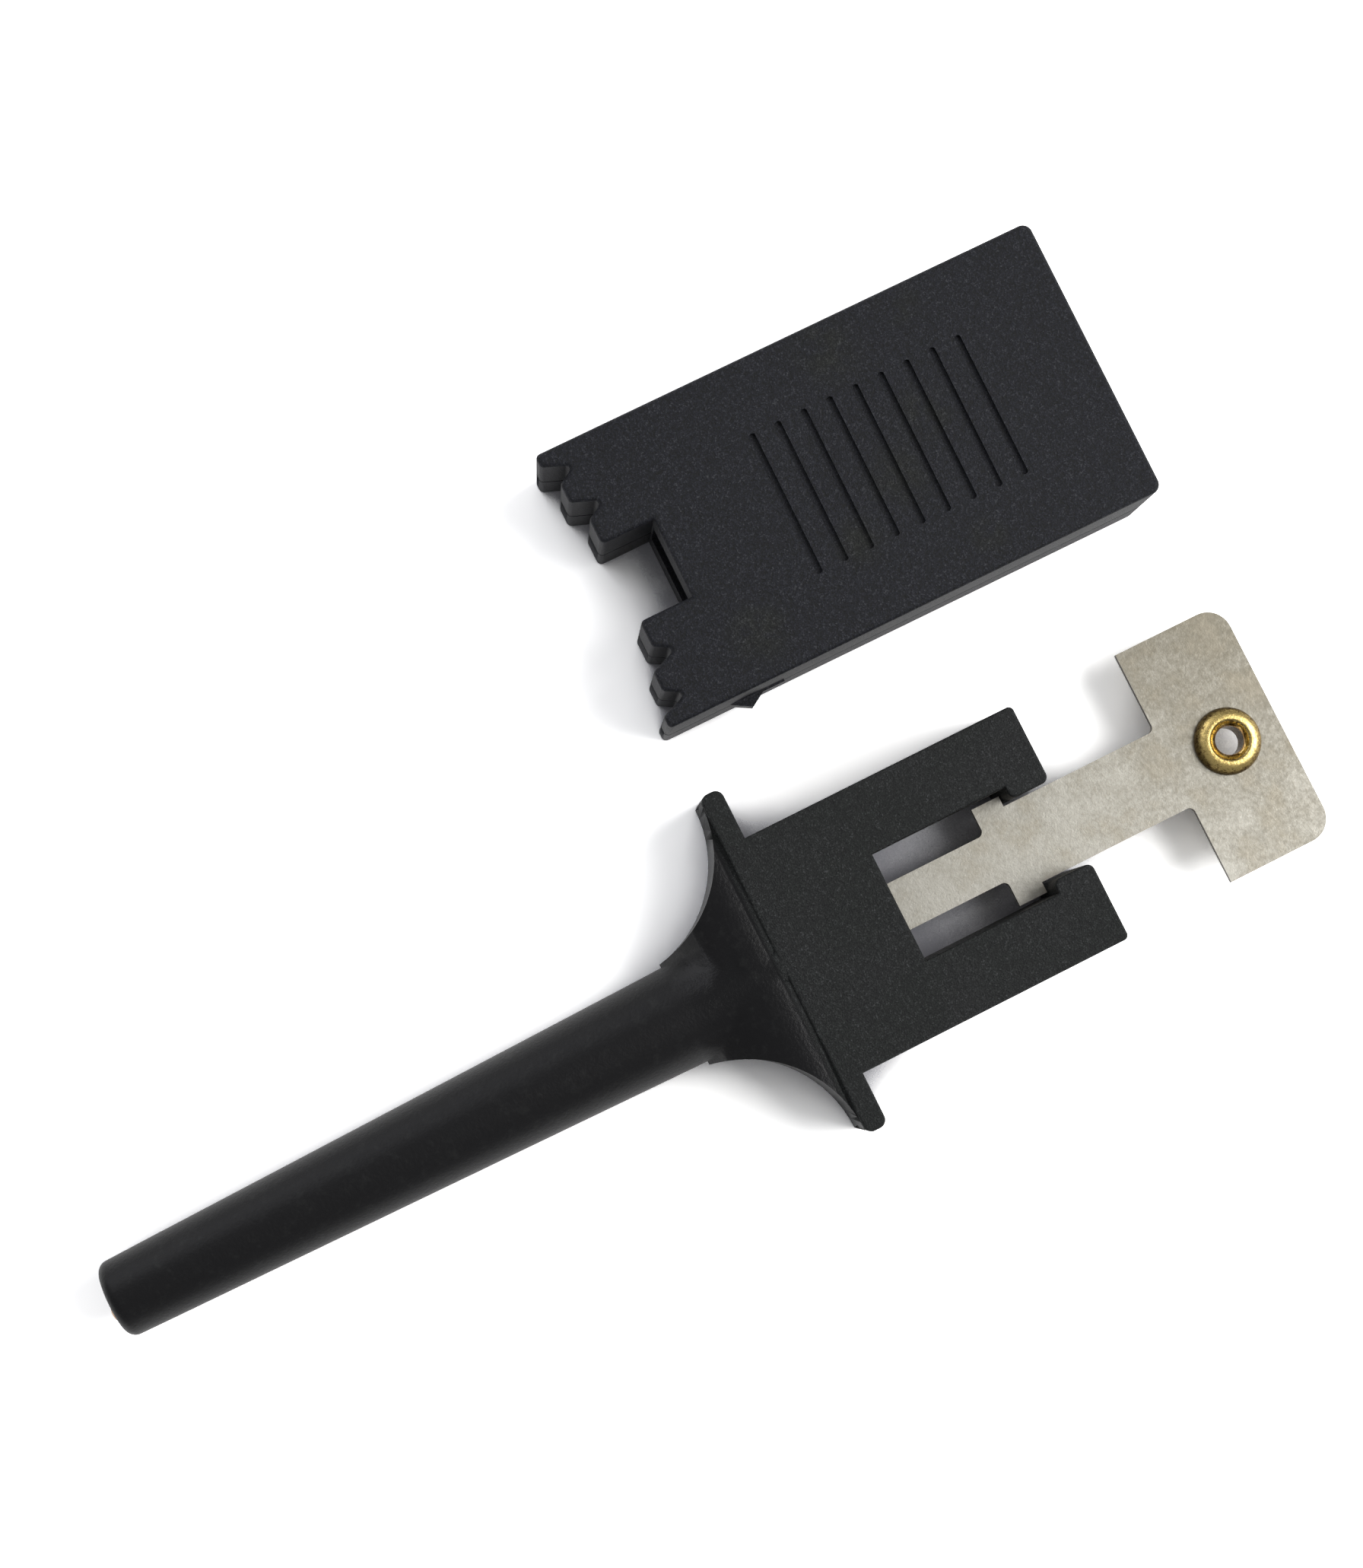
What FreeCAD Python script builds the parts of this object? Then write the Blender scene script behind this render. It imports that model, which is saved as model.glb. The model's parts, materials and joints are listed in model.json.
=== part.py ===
"""A flat spring-hook test clip, taken apart as it lies on a bench.

+X runs along the clip from its hook to its wire end, +Z is up and the floor is z = 0. The origin
lies on the underside of the finger flange, at its middle. The cap lies beside the clip on +Y, turned
end for end. All lengths are millimetres, kept on the sheet and bound to every sub-part.
"""

import FreeCAD, Part
import os

import Sketcher

SIZES = {
    # Clip body: a round barrel, a finger flange and a flat plate, one moulding
    "barrel_length": 28.5,
    "barrel_tip_diameter": 3.1,
    "barrel_root_diameter": 4.2,
    "tip_round": 0.45,
    "flange_thickness": 0.91,
    "flange_width": 14.35,
    "wing_round": 0.35,
    "gusset_radius": 4.9,
    "gusset_length": 4.1,
    "gusset_bulge": 0.78,
    "gusset_recess": 0.12,
    "plate_thickness": 4.2,
    "plate_width": 10.04,
    "plate_length": 11.55,
    "plate_round": 0.22,
    "window_width": 4.57,
    "window_wall": 4.1,
    "throat_width": 3.52,
    "lip_length": 1.68,
    "lip_round": 0.3,
    "body_edge_round": 0.1,
    # Bores and mouth inside the barrel
    "spring_bore_diameter": 2.3,
    "spring_seat_from_flange": 18.0,
    "wire_clearance": 0.05,
    "mouth_depth": 1.05,
    # Contact strip
    "strip_thickness": 0.3,
    "tongue_width": 2.0,
    "tongue_reach": 6.1,
    "ear_width": 4.2,
    "ear_length": 1.2,
    "ear_clearance": 0.05,
    "neck_width": 3.31,
    "hook_travel": 4.2,
    "end_clearance": 0.77,
    "head_inset": 0.02,
    "head_length": 4.64,
    "head_round": 1.0,
    "inner_round": 0.25,
    # Eyelet
    "eyelet_from_head_end": 2.22,
    "eyelet_diameter": 2.7,
    "eyelet_bore": 1.15,
    "eyelet_shank": 1.7,
    "eyelet_rim_height": 0.48,
    "eyelet_lip_width": 0.16,
    "eyelet_lip_drop": 0.12,
    # Crimp sleeve, hook wire and return spring
    "sleeve_diameter": 1.5,
    "sleeve_grip": 1.6,
    "collar_diameter": 1.9,
    "collar_length": 0.6,
    "wire_diameter": 0.5,
    "wire_grip": 1.2,
    "hook_bend_radius": 0.4,
    "hook_return": 0.4,
    "hook_proud": 0.22,
    "spring_clearance": 0.1,
    "spring_wire": 0.22,
    "spring_coils": 12.0,
    "spring_end_gap": 0.02,
    # Cap
    "cap_length": 21.25,
    "cap_side_wall": 0.71,
    "cap_face_wall": 0.5,
    "cap_clearance": 0.1,
    "pocket_spare": 0.2,
    "slot_clearance": 0.1,
    "press_gap": 0.1,
    "channel_width": 3.1,
    "channel_clearance": 0.47,
    "notch_width": 3.3,
    "notch_depth": 3.02,
    "lobe_step": 0.4,
    "bite_depth": 1.2,
    "bite_mouth": 0.9,
    "bite_pitch": 1.7,
    "inner_bite_offset": 3.17,
    "outer_lobe_least": 0.3,
    "lobe_round": 0.2,
    "bite_round": 0.16,
    "cap_corner_round": 0.4,
    "cap_edge_round": 0.17,
    "parting_height": 2.3,
    "parting_width": 0.12,
    "parting_depth": 0.08,
    "grip_start": 7.84,
    "grip_pitch": 1.108,
    "grip_width": 0.26,
    "grip_length": 6.0,
    "grip_depth": 0.15,
    "gate_start": 2.77,
    "gate_length": 1.4,
    "gate_peak": 0.8,
    "gate_reach": 0.46,
    "gate_trail": 0.95,
    "gate_ledge": 0.09,
    "gate_height": 0.7,
    # Where the cap lies, and how far it is turned there, in degrees
    "cap_aside": 15.81,
    "cap_along": -0.32,
    "cap_turn": -0.4,
}
GRIP_COUNT = 9
GRIP_END_RADIUS = 1.2  # in half widths of a groove
GUSSET_WAY = 0.7  # how far along its length, and up its height, a gusset's bulge is drawn through
HALF_TURN_BOW = 1 - 0.5**0.5  # how far a quarter arc's middle lies from its square, in radii

doc = FreeCAD.newDocument("test_hook_clip")
sheet = doc.addObject("Spreadsheet::Sheet", "sizes")


class Size:
    """A length as its number and as the formula on the sheet that gives it."""

    def __init__(self, number, text):
        self.number = number
        self.text = text

    def __add__(self, other):
        other = as_size(other)
        return Size(self.number + other.number, f"({self.text} + {other.text})")

    def __sub__(self, other):
        other = as_size(other)
        return Size(self.number - other.number, f"({self.text} - {other.text})")

    def __mul__(self, other):
        other = as_size(other)
        return Size(self.number * other.number, f"({self.text} * {other.text})")

    def __truediv__(self, other):
        other = as_size(other)
        return Size(self.number / other.number, f"({self.text} / {other.text})")

    def __rmul__(self, other):
        return self * other

    def __neg__(self):
        return Size(-self.number, f"(0 - {self.text})")


def as_size(value):
    """A Size as it is, or a plain number as a Size."""
    return value if isinstance(value, Size) else Size(value, repr(value))


def fill_sheet():
    """Writes each driving dimension to a cell with its alias, and gives them back as Sizes."""
    sizes = {}
    for row, (alias, number) in enumerate(SIZES.items(), start=1):
        sheet.set(f"A{row}", alias)
        sheet.set(f"B{row}", str(number))
        sheet.setAlias(f"B{row}", alias)
        sizes[alias] = Size(number, f"sizes.{alias}")
    doc.recompute()
    return sizes


def bind(thing, **properties):
    """Binds properties of a document object to the sheet."""
    for name, size in properties.items():
        thing.setExpression(name, as_size(size).text)


def new_body(label):
    """A sub-part, whose label names its file."""
    body = doc.addObject("PartDesign::Body", label)
    body.Label = label
    return body


def origin_feature(body, role):
    """The body's own origin plane or axis of that role."""
    return next(f for f in body.Origin.OriginFeatures if f.Role == role)


def new_sketch(body, name, role, height=None):
    """A sketch on one of the body's origin planes, lifted off it by height along its normal."""
    sketch = body.newObject("Sketcher::SketchObject", name)
    sketch.AttachmentSupport = [(origin_feature(body, role), "")]
    sketch.MapMode = "FlatFace"
    if height is not None:
        sketch.setExpression("AttachmentOffset.Base.z", as_size(height).text)
    return sketch


def place_point(sketch, edge, end, x, y):
    """Holds one end or centre of an edge at a point worked out on the sheet."""
    for kind, axis, size in (("DistanceX", -2, as_size(x)), ("DistanceY", -1, as_size(y))):
        if size.number == 0:
            sketch.addConstraint(Sketcher.Constraint("PointOnObject", edge, end, axis))
            continue
        index = sketch.addConstraint(
            Sketcher.Constraint(kind, -1, 1, edge, end, size.number)
        )
        sketch.setExpression(f"Constraints[{index}]", size.text)


def vector(x, y):
    """The numbers of two sizes as a point of a sketch."""
    return FreeCAD.Vector(as_size(x).number, as_size(y).number, 0)


def draw_path(sketch, corners, closed=True):
    """Draws lines and arcs through the corners. A corner is (x, y), reached by a line, or
    (x, y, through_x, through_y, radius), reached by an arc through a point on it. An arc runs
    anticlockwise in the sketch's plane."""
    first_edge = sketch.GeometryCount
    count = len(corners) if closed else len(corners) - 1
    ends = []
    for n in range(count):
        start = vector(*corners[n][:2])
        corner = corners[(n + 1) % len(corners)]
        end = vector(*corner[:2])
        if len(corner) == 2:
            sketch.addGeometry(Part.LineSegment(start, end), False)
            ends.append((1, 2))
            continue
        arc = Part.Arc(start, vector(corner[2], corner[3]), end)
        edge = sketch.addGeometry(arc, False)
        forward = sketch.Geometry[edge].StartPoint.distanceToPoint(start) < 1e-6
        ends.append((1, 2) if forward else (2, 1))
        index = sketch.addConstraint(
            Sketcher.Constraint("Radius", edge, as_size(corner[4]).number)
        )
        sketch.setExpression(f"Constraints[{index}]", as_size(corner[4]).text)
    for n in range(count):
        place_point(sketch, first_edge + n, ends[n][0], *corners[n][:2])
        if n + 1 < count or closed:
            follower = (n + 1) % count
            sketch.addConstraint(
                Sketcher.Constraint(
                    "Coincident",
                    first_edge + n,
                    ends[n][1],
                    first_edge + follower,
                    ends[follower][0],
                )
            )
    if not closed:
        place_point(sketch, first_edge + count - 1, ends[-1][1], *corners[-1][:2])


def draw_circle(sketch, x, y, radius):
    """Draws a circle whose centre and radius come from the sheet."""
    circle = Part.Circle(vector(x, y), FreeCAD.Vector(0, 0, 1), as_size(radius).number)
    edge = sketch.addGeometry(circle, False)
    place_point(sketch, edge, 3, x, y)
    index = sketch.addConstraint(
        Sketcher.Constraint("Radius", edge, as_size(radius).number)
    )
    sketch.setExpression(f"Constraints[{index}]", as_size(radius).text)


def box_corners(x_low, x_high, y_low, y_high):
    """The four corners of a rectangle, in turn."""
    return [(x_low, y_low), (x_high, y_low), (x_high, y_high), (x_low, y_high)]


def pad(body, name, sketch, length, both_ways=False):
    """Adds material on a sketch."""
    feature = body.newObject("PartDesign::Pad", name)
    feature.Profile = sketch
    if both_ways:
        feature.SideType = "Symmetric"
    bind(feature, Length=length)
    doc.recompute()
    return feature


def pocket(body, name, sketch, length, back=False, both_ways=False):
    """Cuts material away on a sketch, and checks that something was cut."""
    before = body.Shape.Volume
    feature = body.newObject("PartDesign::Pocket", name)
    feature.Profile = sketch
    feature.Reversed = back
    if both_ways:
        feature.SideType = "Symmetric"
    bind(feature, Length=length)
    doc.recompute()
    if not feature.Shape.Volume < before:
        raise RuntimeError(f"{name} cut nothing")
    return feature


def turn(body, kind, name, sketch):
    """Revolves a sketch about the clip's axis, which is the sketch's own horizontal axis."""
    feature = body.newObject(f"PartDesign::{kind}", name)
    feature.Profile = sketch
    feature.ReferenceAxis = (sketch, ["H_Axis"])
    feature.Angle = 360.0
    doc.recompute()
    return feature


def edge_names(shape, wanted):
    """The names of the edges that the test wanted picks out."""
    return [f"Edge{n}" for n, edge in enumerate(shape.Edges, start=1) if wanted(edge)]


def round_edges(body, name, radius, wanted):
    """Fillets the edges of the body's tip that the test picks out."""
    base = body.Tip
    names = edge_names(base.Shape, wanted)
    feature = body.newObject("PartDesign::Fillet", name)
    feature.Base = (base, names)
    bind(feature, Radius=radius)
    doc.recompute()
    return feature


def is_upright(edge):
    """A straight edge that stands along Z."""
    box = edge.BoundBox
    return box.XLength < 1e-6 and box.YLength < 1e-6 and box.ZLength > 1e-6


def upright_near(places, reach=0.02):
    """A test for upright edges near any of the places, given as pairs of sizes."""
    spots = [(as_size(x).number, as_size(y).number) for x, y in places]

    def wanted(edge):
        if not is_upright(edge):
            return False
        at = edge.CenterOfMass
        return any(abs(at.x - x) < reach and abs(at.y - y) < reach for x, y in spots)

    return wanted


def lies_at_height(edge, heights):
    """An edge that lies flat at one of the heights."""
    box = edge.BoundBox
    return box.ZLength < 1e-6 and any(abs(box.ZMin - z.number) < 1e-4 for z in heights)


def both_sides(x, y):
    """A place and its mirror image across the clip's axis."""
    return [(x, y), (x, -y)]


class Layout:
    """Places that several sub-parts share, worked out from the driving dimensions."""

    def __init__(self, s):
        self.axis_height = s["plate_thickness"] / 2
        self.flange_front = -s["flange_thickness"] / 2
        self.flange_back = s["flange_thickness"] / 2
        self.tip = self.flange_front - s["barrel_length"]
        self.plate_end = self.flange_back + s["plate_length"]
        self.lip_front = self.plate_end - s["lip_length"]
        self.window_front = self.flange_back + s["window_wall"]
        self.spring_seat = self.flange_front - s["spring_seat_from_flange"]
        self.ear_back = self.lip_front - s["ear_clearance"]
        self.ear_front = self.ear_back - s["ear_length"]
        self.tongue_front = self.window_front - s["tongue_reach"]
        self.head_front = self.plate_end + s["hook_travel"] + s["end_clearance"]
        self.head_back = self.head_front + s["head_length"]
        self.eyelet_x = self.head_back - s["eyelet_from_head_end"]
        self.strip_low = self.axis_height - s["strip_thickness"] / 2
        self.strip_high = self.axis_height + s["strip_thickness"] / 2
        self.collar_back = self.tongue_front
        self.collar_front = self.collar_back - s["collar_length"]
        self.wire_back = self.tongue_front
        self.wire_bore = s["wire_diameter"] + s["wire_clearance"] * 2


def make_clip_body(s, at):
    """The moulding: barrel, flange with its gussets, and the plate with its window and throat."""
    body = new_body("clip_body")
    wing = s["flange_width"] / 2
    side = s["plate_width"] / 2
    window = s["window_width"] / 2
    throat = s["throat_width"] / 2

    plan = new_sketch(body, "plan_outline", "XY_Plane")
    half = [
        (at.flange_front, wing),
        (at.flange_back, wing),
        (at.flange_back, side),
        (at.plate_end, side),
        (at.plate_end, throat),
        (at.lip_front, throat),
        (at.lip_front, window),
        (at.window_front, window),
    ]
    draw_path(plan, half + [(x, -y) for x, y in reversed(half)])
    pad(body, "plate_and_flange", plan, s["plate_thickness"])
    ends = both_sides(at.flange_front, wing) + both_sides(at.flange_back, wing)
    round_edges(body, "wing_ends", s["wing_round"], upright_near(ends))
    rear_corners = both_sides(at.plate_end, side)
    round_edges(body, "plate_corners", s["plate_round"], upright_near(rear_corners))
    lip_corners = both_sides(at.plate_end, throat) + both_sides(at.lip_front, throat)
    round_edges(body, "lip_corners", s["lip_round"], upright_near(lip_corners))
    faces = (as_size(0.0), s["plate_thickness"])
    round_edges(
        body, "face_edges", s["body_edge_round"], lambda e: lies_at_height(e, faces)
    )

    add_gussets(body, s, at)
    add_barrel(body, s, at)
    cut_bores(body, s, at)
    return body


def add_gussets(body, s, at):
    """Fills the corners between barrel and flange: a lens from the side, hollowed out by two
    circles from above."""
    rise = s["plate_thickness"] / 2 - s["gusset_recess"]
    length = s["gusset_length"]
    bulge = s["gusset_bulge"]
    curve = (length * length + rise * rise) / (bulge * 8) + bulge / 2
    nose = at.flange_front - length
    shoulder = at.flange_front - length * GUSSET_WAY
    swell = new_sketch(body, "gusset_side", "XZ_Plane")
    draw_path(
        swell,
        [
            (at.flange_front, at.axis_height + rise),
            (nose, at.axis_height, shoulder, at.axis_height + rise * GUSSET_WAY, curve),
            (
                at.flange_front,
                at.axis_height - rise,
                shoulder,
                at.axis_height - rise * GUSSET_WAY,
                curve,
            ),
        ],
    )
    centre_y = s["barrel_root_diameter"] / 2 + s["gusset_radius"]
    pad(body, "gusset_swell", swell, centre_y * 2, both_ways=True)
    hollows = new_sketch(body, "gusset_hollows", "XY_Plane")
    for x, y in both_sides(at.flange_front - s["gusset_radius"], centre_y):
        draw_circle(hollows, x, y, s["gusset_radius"])
    pocket(body, "gusset_arcs", hollows, s["plate_thickness"] * 3, both_ways=True)


def add_barrel(body, s, at):
    """The tapered round barrel, with its rounded tip."""
    profile = new_sketch(body, "barrel_profile", "XZ_Plane")
    profile.setExpression("AttachmentOffset.Base.y", at.axis_height.text)
    tip_r = s["barrel_tip_diameter"] / 2
    root_r = s["barrel_root_diameter"] / 2
    curve = s["tip_round"]
    bow = curve * HALF_TURN_BOW
    draw_path(
        profile,
        [
            (at.tip, as_size(0)),
            (at.flange_back, as_size(0)),
            (at.flange_back, root_r),
            (at.flange_front, root_r),
            (at.tip + curve, tip_r),
            (at.tip, tip_r - curve, at.tip + bow, tip_r - bow, curve),
        ],
    )
    turn(body, "Revolution", "barrel", profile)


def cut_bores(body, s, at):
    """The spring's bore, the wire's bore and the hook's slot in the mouth."""
    bore = new_sketch(body, "bore_profile", "XZ_Plane")
    bore.setExpression("AttachmentOffset.Base.y", at.axis_height.text)
    spring_r = s["spring_bore_diameter"] / 2
    wire_r = at.wire_bore / 2
    draw_path(
        bore,
        [
            (at.tip - s["tip_round"], as_size(0)),
            (at.window_front, as_size(0)),
            (at.window_front, spring_r),
            (at.spring_seat, spring_r),
            (at.spring_seat, wire_r),
            (at.tip - s["tip_round"], wire_r),
        ],
    )
    before = body.Shape.Volume
    turn(body, "Groove", "bores", bore)
    if not body.Shape.Volume < before:
        raise RuntimeError("the bores cut nothing")
    mouth = new_sketch(body, "mouth_plan", "XY_Plane", at.axis_height)
    gap = at.wire_bore / 2
    back = at.tip + s["mouth_depth"]
    far_side = -(s["hook_bend_radius"] * 2 + gap)
    draw_path(mouth, box_corners(at.tip - s["tip_round"], back, far_side, gap))
    pocket(body, "mouth_slot", mouth, at.wire_bore, both_ways=True)


def make_contact_strip(s, at):
    """The stamped strip: tongue, two ears that rest on the lips, neck and T-shaped head."""
    body = new_body("contact_strip")
    plan = new_sketch(body, "strip_outline", "XY_Plane", at.strip_low)
    tongue = s["tongue_width"] / 2
    ear = s["ear_width"] / 2
    neck = s["neck_width"] / 2
    head = s["plate_width"] / 2 - s["head_inset"]
    half = [
        (at.tongue_front, tongue),
        (at.ear_front, tongue),
        (at.ear_front, ear),
        (at.ear_back, ear),
        (at.ear_back, neck),
        (at.head_front, neck),
        (at.head_front, head),
        (at.head_back, head),
    ]
    draw_path(plan, half + [(x, -y) for x, y in reversed(half)])
    draw_circle(plan, at.eyelet_x, as_size(0), s["eyelet_shank"] / 2)
    pad(body, "strip", plan, s["strip_thickness"])
    rear_corners = both_sides(at.head_back, head)
    round_edges(body, "head_corners", s["head_round"], upright_near(rear_corners))
    inner = both_sides(at.ear_front, tongue) + both_sides(at.head_front, neck)
    round_edges(body, "inner_corners", s["inner_round"], upright_near(inner))
    return body


def make_eyelet(s, at):
    """The rolled eyelet: a shank through the strip, with the same rolled rim above and below. Inside
    the roll, the turned-in end of the tube stands as a thin ring."""
    body = new_body("eyelet")
    body.setExpression("Placement.Base.x", at.eyelet_x.text)
    body.setExpression("Placement.Base.z", at.axis_height.text)
    profile = new_sketch(body, "eyelet_profile", "XZ_Plane")
    bore = s["eyelet_bore"] / 2
    shank = s["eyelet_shank"] / 2
    rim = s["eyelet_diameter"] / 2
    face = s["strip_thickness"] / 2
    top = face + s["eyelet_rim_height"]
    lip = bore + s["eyelet_lip_width"]
    lip_top = top - s["eyelet_lip_drop"]
    outer = s["eyelet_rim_height"]
    crown = rim - outer
    inner = crown - lip
    outer_bow = outer * HALF_TURN_BOW
    inner_bow = inner * HALF_TURN_BOW
    draw_path(
        profile,
        [
            (bore, -lip_top),
            (lip, -lip_top),
            (lip, inner - top),
            (crown, -top, lip + inner_bow, inner_bow - top, inner),
            (rim, -face, rim - outer_bow, outer_bow - top, outer),
            (shank, -face),
            (shank, face),
            (rim, face),
            (crown, top, rim - outer_bow, top - outer_bow, outer),
            (lip, top - inner, lip + inner_bow, top - inner_bow, inner),
            (lip, lip_top),
            (bore, lip_top),
        ],
    )
    feature = body.newObject("PartDesign::Revolution", "rolled_eyelet")
    feature.Profile = profile
    feature.ReferenceAxis = (profile, ["V_Axis"])
    feature.Angle = 360.0
    doc.recompute()
    return body


def make_crimp_sleeve(s, at):
    """The sleeve that grips the wire and the tongue, with the collar that the spring pushes on."""
    body = new_body("crimp_sleeve")
    profile = new_sketch(body, "sleeve_profile", "XZ_Plane")
    profile.setExpression("AttachmentOffset.Base.y", at.axis_height.text)
    wire_r = s["wire_diameter"] / 2
    collar_r = s["collar_diameter"] / 2
    sleeve_r = s["sleeve_diameter"] / 2
    back = at.tongue_front + s["sleeve_grip"]
    draw_path(
        profile,
        [
            (at.collar_front - s["wire_grip"], wire_r),
            (at.wire_back, wire_r),
            (at.wire_back, as_size(0)),
            (back, as_size(0)),
            (back, sleeve_r),
            (at.collar_back, sleeve_r),
            (at.collar_back, collar_r),
            (at.collar_front, collar_r),
            (at.collar_front, wire_r * 2),
            (at.collar_front - s["wire_grip"], wire_r * 2),
        ],
    )
    turn(body, "Revolution", "sleeve", profile)
    fork = new_sketch(body, "fork_plan", "XY_Plane", at.strip_low)
    draw_path(
        fork, box_corners(at.tongue_front, back + sleeve_r, -collar_r, collar_r)
    )
    pocket(body, "tongue_fork", fork, s["strip_thickness"], back=True)
    return body


def make_hook_wire(s, at):
    """The wire through the barrel, bent into the hook that lies drawn back in the mouth."""
    body = new_body("hook_wire")
    radius = s["hook_bend_radius"]
    bend_x = at.tip - s["hook_proud"] + s["wire_diameter"] / 2 + radius
    slant = radius * 0.5**0.5
    path = new_sketch(body, "wire_path", "XY_Plane", at.axis_height)
    draw_path(
        path,
        [
            (at.wire_back, as_size(0)),
            (bend_x, as_size(0)),
            (bend_x - radius, -radius, bend_x - slant, slant - radius, radius),
            (bend_x, -radius * 2, bend_x - slant, -radius - slant, radius),
            (bend_x + s["hook_return"], -radius * 2),
        ],
        closed=False,
    )
    section = new_sketch(body, "wire_section", "YZ_Plane", at.wire_back)
    draw_circle(section, as_size(0), at.axis_height, s["wire_diameter"] / 2)
    doc.recompute()
    feature = body.newObject("PartDesign::AdditivePipe", "wire")
    feature.Profile = section
    feature.Spine = (path, ["Edge1", "Edge2", "Edge3", "Edge4"])
    doc.recompute()
    return body


def make_return_spring(s, at):
    """The compression spring between the seat in the barrel and the sleeve's collar."""
    coil_r = (
        s["spring_bore_diameter"] / 2 - s["spring_clearance"] - s["spring_wire"] / 2
    )
    start = at.spring_seat + s["spring_wire"] / 2 + s["spring_end_gap"]
    end = at.collar_front - s["spring_wire"] / 2 - s["spring_end_gap"]
    helix = doc.addObject("Part::Helix", "spring_path")
    bind(
        helix,
        Radius=coil_r,
        Height=end - start,
        Pitch=(end - start) / s["spring_coils"],
    )
    section = doc.addObject("Part::Circle", "spring_section")
    bind(section, Radius=s["spring_wire"] / 2)
    section.Placement.Rotation = FreeCAD.Rotation(FreeCAD.Vector(1, 0, 0), 90)
    section.setExpression("Placement.Base.x", coil_r.text)
    sweep = doc.addObject("Part::Sweep", "return_spring")
    sweep.Label = "return_spring"
    sweep.Sections = [section]
    sweep.Spine = (helix, ["Edge1"])
    sweep.Solid = True
    sweep.Frenet = True
    sweep.Placement.Rotation = FreeCAD.Rotation(FreeCAD.Vector(0, 1, 0), 90)
    sweep.setExpression("Placement.Base.x", start.text)
    sweep.setExpression("Placement.Base.z", at.axis_height.text)
    doc.recompute()
    return sweep


def bites_a_side(s, half_width):
    """How many bites there is room for between the wire notch and the least outer lobe."""
    taken = s["inner_bite_offset"] + s["bite_mouth"] / 2 + s["outer_lobe_least"]
    return max(1, 1 + int((half_width - taken).number // s["bite_pitch"].number))


def cap_outline(s, half_width, inset):
    """The cap's outline from above, from its toothed end at x = 0. Each tooth nearer the wire
    notch stands one step further back, and the whole outline may be drawn in by an inset."""
    half = []
    count = bites_a_side(s, half_width)
    reach = s["bite_mouth"] / 2 + inset
    for n in reversed(range(count)):
        middle = s["inner_bite_offset"] + s["bite_pitch"] * n
        outer_front = s["lobe_step"] * (count - 1 - n) + inset
        inner_front = outer_front + s["lobe_step"]
        half.append((outer_front, middle + reach))
        half.append((outer_front + s["bite_depth"], middle))
        half.append((inner_front, middle - reach))
    notch = s["notch_width"] / 2 + inset
    half.append((s["lobe_step"] * count + inset, notch))
    half.append((s["notch_depth"] + inset, notch))
    start = [(s["cap_length"] - inset, half_width - inset), (inset, half_width - inset)]
    upper = start + half
    return upper + [(x, -y) for x, y in reversed(upper)]


def make_cap(s, at):
    """The cap: a flat sleeve with a pocket for the plate, a slot for the strip's head, a channel
    for the eyelet and its wire, a toothed end and grip grooves on both faces."""
    body = new_body("cap")
    inner_half = s["plate_width"] / 2 + s["cap_clearance"]
    half_width = inner_half + s["cap_side_wall"]
    inner_height = s["plate_thickness"] + s["cap_clearance"] * 2
    height = inner_height + s["cap_face_wall"] * 2
    middle = height / 2

    plan = new_sketch(body, "cap_plan", "XY_Plane")
    outline = cap_outline(s, half_width, as_size(0.0))
    draw_path(plan, outline)
    pad(body, "cap_block", plan, height)
    mouth_corners = both_sides(s["cap_length"], half_width)
    round_edges(body, "mouth_corners", s["cap_corner_round"], upright_near(mouth_corners))
    apexes, fronts = [], []
    for x, y in outline[1 : len(outline) // 2 - 1]:
        places = apexes if is_apex(s, x, half_width) else fronts
        places.extend(both_sides(x, y))
    round_edges(body, "bite_apexes", s["bite_round"], upright_near(apexes))
    round_edges(body, "lobe_corners", s["lobe_round"], upright_near(fronts))
    faces = (as_size(0.0), height)
    round_edges(
        body, "cap_edges", s["cap_edge_round"], lambda e: lies_at_height(e, faces)
    )

    cut_cap_inside(body, s, at, inner_half, inner_height, middle)
    cut_grips(body, s, height)

    seam = new_sketch(body, "parting_plan", "XY_Plane", s["parting_height"])
    around = s["cap_clearance"] + s["parting_depth"]
    draw_path(
        seam,
        box_corners(-around, s["cap_length"] + around, -half_width - around, half_width + around),
    )
    draw_path(seam, cap_outline(s, half_width, s["parting_depth"]))
    pocket(body, "parting_line", seam, s["parting_width"], both_ways=True)
    add_gate(body, s, half_width)

    body.setExpression("Placement.Base.x", s["cap_along"].text)
    body.setExpression("Placement.Base.y", s["cap_aside"].text)
    body.Placement.Rotation = FreeCAD.Rotation(FreeCAD.Vector(0, 0, 1), s["cap_turn"].number)
    body.setExpression("Placement.Rotation.Angle", s["cap_turn"].text)
    doc.recompute()
    return body


def add_gate(body, s, half_width):
    """The torn stub of the moulding gate on the parting line, with the ledge that it left."""
    stub = new_sketch(body, "gate_plan", "XY_Plane", s["parting_height"])
    rooted = -(half_width - s["parting_depth"] * 2)
    end = s["gate_start"] + s["gate_length"]
    ledge = -(half_width + s["gate_ledge"])
    draw_path(
        stub,
        [
            (s["gate_start"], rooted),
            (s["gate_start"], -half_width),
            (s["gate_start"] + s["gate_peak"], -(half_width + s["gate_reach"])),
            (end, ledge),
            (end + s["gate_trail"], ledge),
            (end + s["gate_trail"], rooted),
        ],
    )
    pad(body, "gate_stub", stub, s["gate_height"], both_ways=True)


def is_apex(s, x, half_width):
    """True for the points of the outline at the bottom of a bite."""
    fronts = [s["lobe_step"].number * n for n in range(bites_a_side(s, half_width))]
    return any(abs(x.number - front - s["bite_depth"].number) < 1e-6 for front in fronts)


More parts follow.
